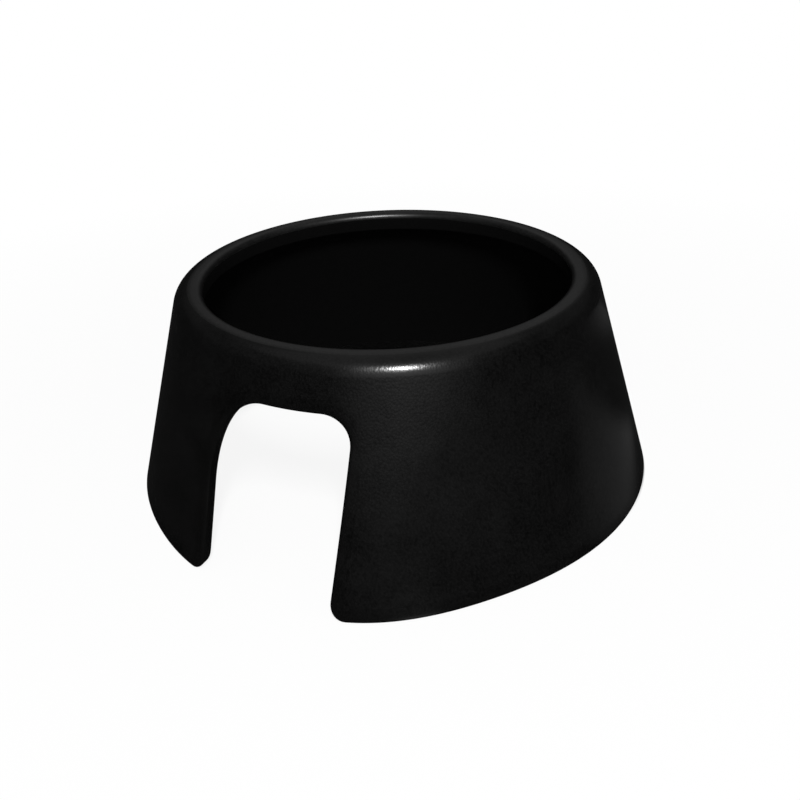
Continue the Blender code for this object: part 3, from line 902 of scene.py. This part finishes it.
def slip_colour(tree):
    place = add_node(tree, "ShaderNodeTexCoord").outputs["Object"]
    middle = {0: place, 1: polar(SLIP_AZIMUTH, SLIP_REACH, 0.0)}
    away = add_node(tree, "ShaderNodeVectorMath", {"operation": "DISTANCE"}, middle).outputs["Value"]
    fade = {"Value": away, "From Min": SLIP_RADIUS, "From Max": 0.0}
    share = add_node(tree, "ShaderNodeMapRange", SMOOTH, fade).outputs[0]
    return add_node(tree, "ShaderNodeMix", MIXED, {0: share, 6: CLOTH_LOW, 7: SLIP_GREY}).outputs[2]


bm = bmesh.new()
bmesh.ops.create_circle(bm, cap_ends=True, radius=SLIP_RADIUS, segments=SLIP_STEPS)
bmesh.ops.translate(bm, verts=bm.verts, vec=polar(SLIP_AZIMUTH, SLIP_REACH, -BOARD_DROP / 4))
stage_object("pale_slip", bm, slip_colour)

# A pale curved card behind the camera, whose reflection makes the soft glow below the highlight.
# Its foot is dimmer, and what glow it has there leans to the right.
GLOW_RADIUS = 0.21
GLOW_ENDS = (math.radians(-10.0), math.radians(90.0))
GLOW_TOP = 0.16
GLOW_STEPS = 24
GLOW_AZIMUTH = math.radians(32.0)
GLOW_SPREAD = math.radians(36.0)
GLOW_FADE = (0.052, 0.085)
GLOW_GREY = linear("#e4e4e4")
FOOT_AZIMUTH = math.radians(42.0)
FOOT_SPREAD = math.radians(40.0)
FOOT_TOP = 0.063
FOOT_LEAN = math.radians(380.0)  # for each metre down
FOOT_FADE = (0.002, 0.022)
FOOT_GREY = linear("#444444")


def glow_colour(tree):
    place = add_node(tree, "ShaderNodeTexCoord").outputs["Object"]
    x, y, z = add_node(tree, "ShaderNodeSeparateXYZ", None, {0: place}).outputs
    front = add_node(tree, "ShaderNodeMath", TIMES, {0: y, 1: -1.0}).outputs[0]
    azimuth = add_node(tree, "ShaderNodeMath", {"operation": "ARCTAN2"}, {0: x, 1: front}).outputs[0]
    drop = add_node(tree, "ShaderNodeMath", {"operation": "SUBTRACT"}, {0: FOOT_TOP, 1: z}).outputs[0]
    below = add_node(tree, "ShaderNodeMath", {"operation": "MAXIMUM"}, {0: drop, 1: 0.0}).outputs[0]
    leaning = {0: below, 1: FOOT_LEAN, 2: FOOT_AZIMUTH}
    middle = add_node(tree, "ShaderNodeMath", TIMES_PLUS, leaning).outputs[0]
    colour = CLOTH_LOW
    for centre, spread, fade, grey in (
        (middle, FOOT_SPREAD, FOOT_FADE, FOOT_GREY),
        (GLOW_AZIMUTH, GLOW_SPREAD, GLOW_FADE, GLOW_GREY),
    ):
        turn = add_node(tree, "ShaderNodeMath", {"operation": "SUBTRACT"}, {0: azimuth, 1: centre})
        aside = add_node(tree, "ShaderNodeMath", {"operation": "ABSOLUTE"}, {0: turn.outputs[0]})
        across = {"Value": aside.outputs[0], "From Min": spread, "From Max": 0.0}
        up = {"Value": z, "From Min": fade[0], "From Max": fade[1]}
        shares = {
            0: add_node(tree, "ShaderNodeMapRange", SMOOTH, across).outputs[0],
            1: add_node(tree, "ShaderNodeMapRange", SMOOTH, up).outputs[0],
        }
        share = add_node(tree, "ShaderNodeMath", TIMES, shares).outputs[0]
        colour = add_node(tree, "ShaderNodeMix", MIXED, {0: share, 6: colour, 7: grey}).outputs[2]
    return colour


bm = bmesh.new()
rows = []
for height in (0.0, GLOW_TOP):
    row = []
    for step in range(GLOW_STEPS + 1):
        azimuth = GLOW_ENDS[0] + (GLOW_ENDS[1] - GLOW_ENDS[0]) * step / GLOW_STEPS
        row.append(bm.verts.new(polar(azimuth, GLOW_RADIUS, height)))
    rows.append(row)
for step in range(GLOW_STEPS):
    bm.faces.new((rows[0][step], rows[0][step + 1], rows[1][step + 1], rows[1][step]))
stage_object("pale_card", bm, glow_colour)

# Light: one small soft box halfway up the sky, a little to the right of the camera, which makes the
# long highlight on the shoulder, and a dim even fill from all round.
KEY_AZIMUTH = math.radians(33.5)
KEY_ELEVATION = math.radians(44.8)
KEY_DISTANCE = 0.9
KEY_SIZE = (0.055, 0.19)
KEY_POWER = 7.6
FILL = 0.3

aim = Vector((0.0, 0.0, HEIGHT))
key_light = bpy.data.lights.new("soft_box", "AREA")
key_light.shape = "RECTANGLE"
key_light.size, key_light.size_y = KEY_SIZE
key_light.energy = KEY_POWER
key = bpy.data.objects.new("soft_box", key_light)
key_reach = KEY_DISTANCE * math.cos(KEY_ELEVATION)
key.location = aim + polar(KEY_AZIMUTH, key_reach, KEY_DISTANCE * math.sin(KEY_ELEVATION))
key.rotation_euler = (key.location - aim).to_track_quat("Z", "Y").to_euler()
key.visible_camera = False
bpy.context.scene.collection.objects.link(key)

world = bpy.data.worlds.new("studio")
world.use_nodes = True
bpy.context.scene.world = world
tree = world.node_tree
tree.nodes.clear()
strengths = {"Value": seen_directly(tree), "To Min": FILL, "To Max": 1.0}
strength = add_node(tree, "ShaderNodeMapRange", None, strengths).outputs[0]
sky = add_node(tree, "ShaderNodeBackground", None, {"Color": WHITE, "Strength": strength})
add_node(tree, "ShaderNodeOutputWorld", None, {"Surface": sky.outputs[0]})

# Camera: from a little above and to the right of the notch, as in the photo. Its place, turn and
# lens were fitted to the outline, the mouth and the notch.
CAMERA_PLACE = (0.10482, -0.20841, 0.14181)
CAMERA_TURN = (61.536, 2.061, 25.067)  # degrees
CAMERA_LENS = 42.567  # millimetres, as the sensor's width is

camera_data = bpy.data.cameras.new("camera")
camera_data.lens = CAMERA_LENS
camera_data.sensor_width = 36.0
camera_data.clip_start = 0.01
camera = bpy.data.objects.new("camera", camera_data)
camera.location = CAMERA_PLACE
camera.rotation_euler = [math.radians(angle) for angle in CAMERA_TURN]
bpy.context.scene.collection.objects.link(camera)
bpy.context.scene.camera = camera
bpy.context.scene.view_settings.view_transform = "Standard"
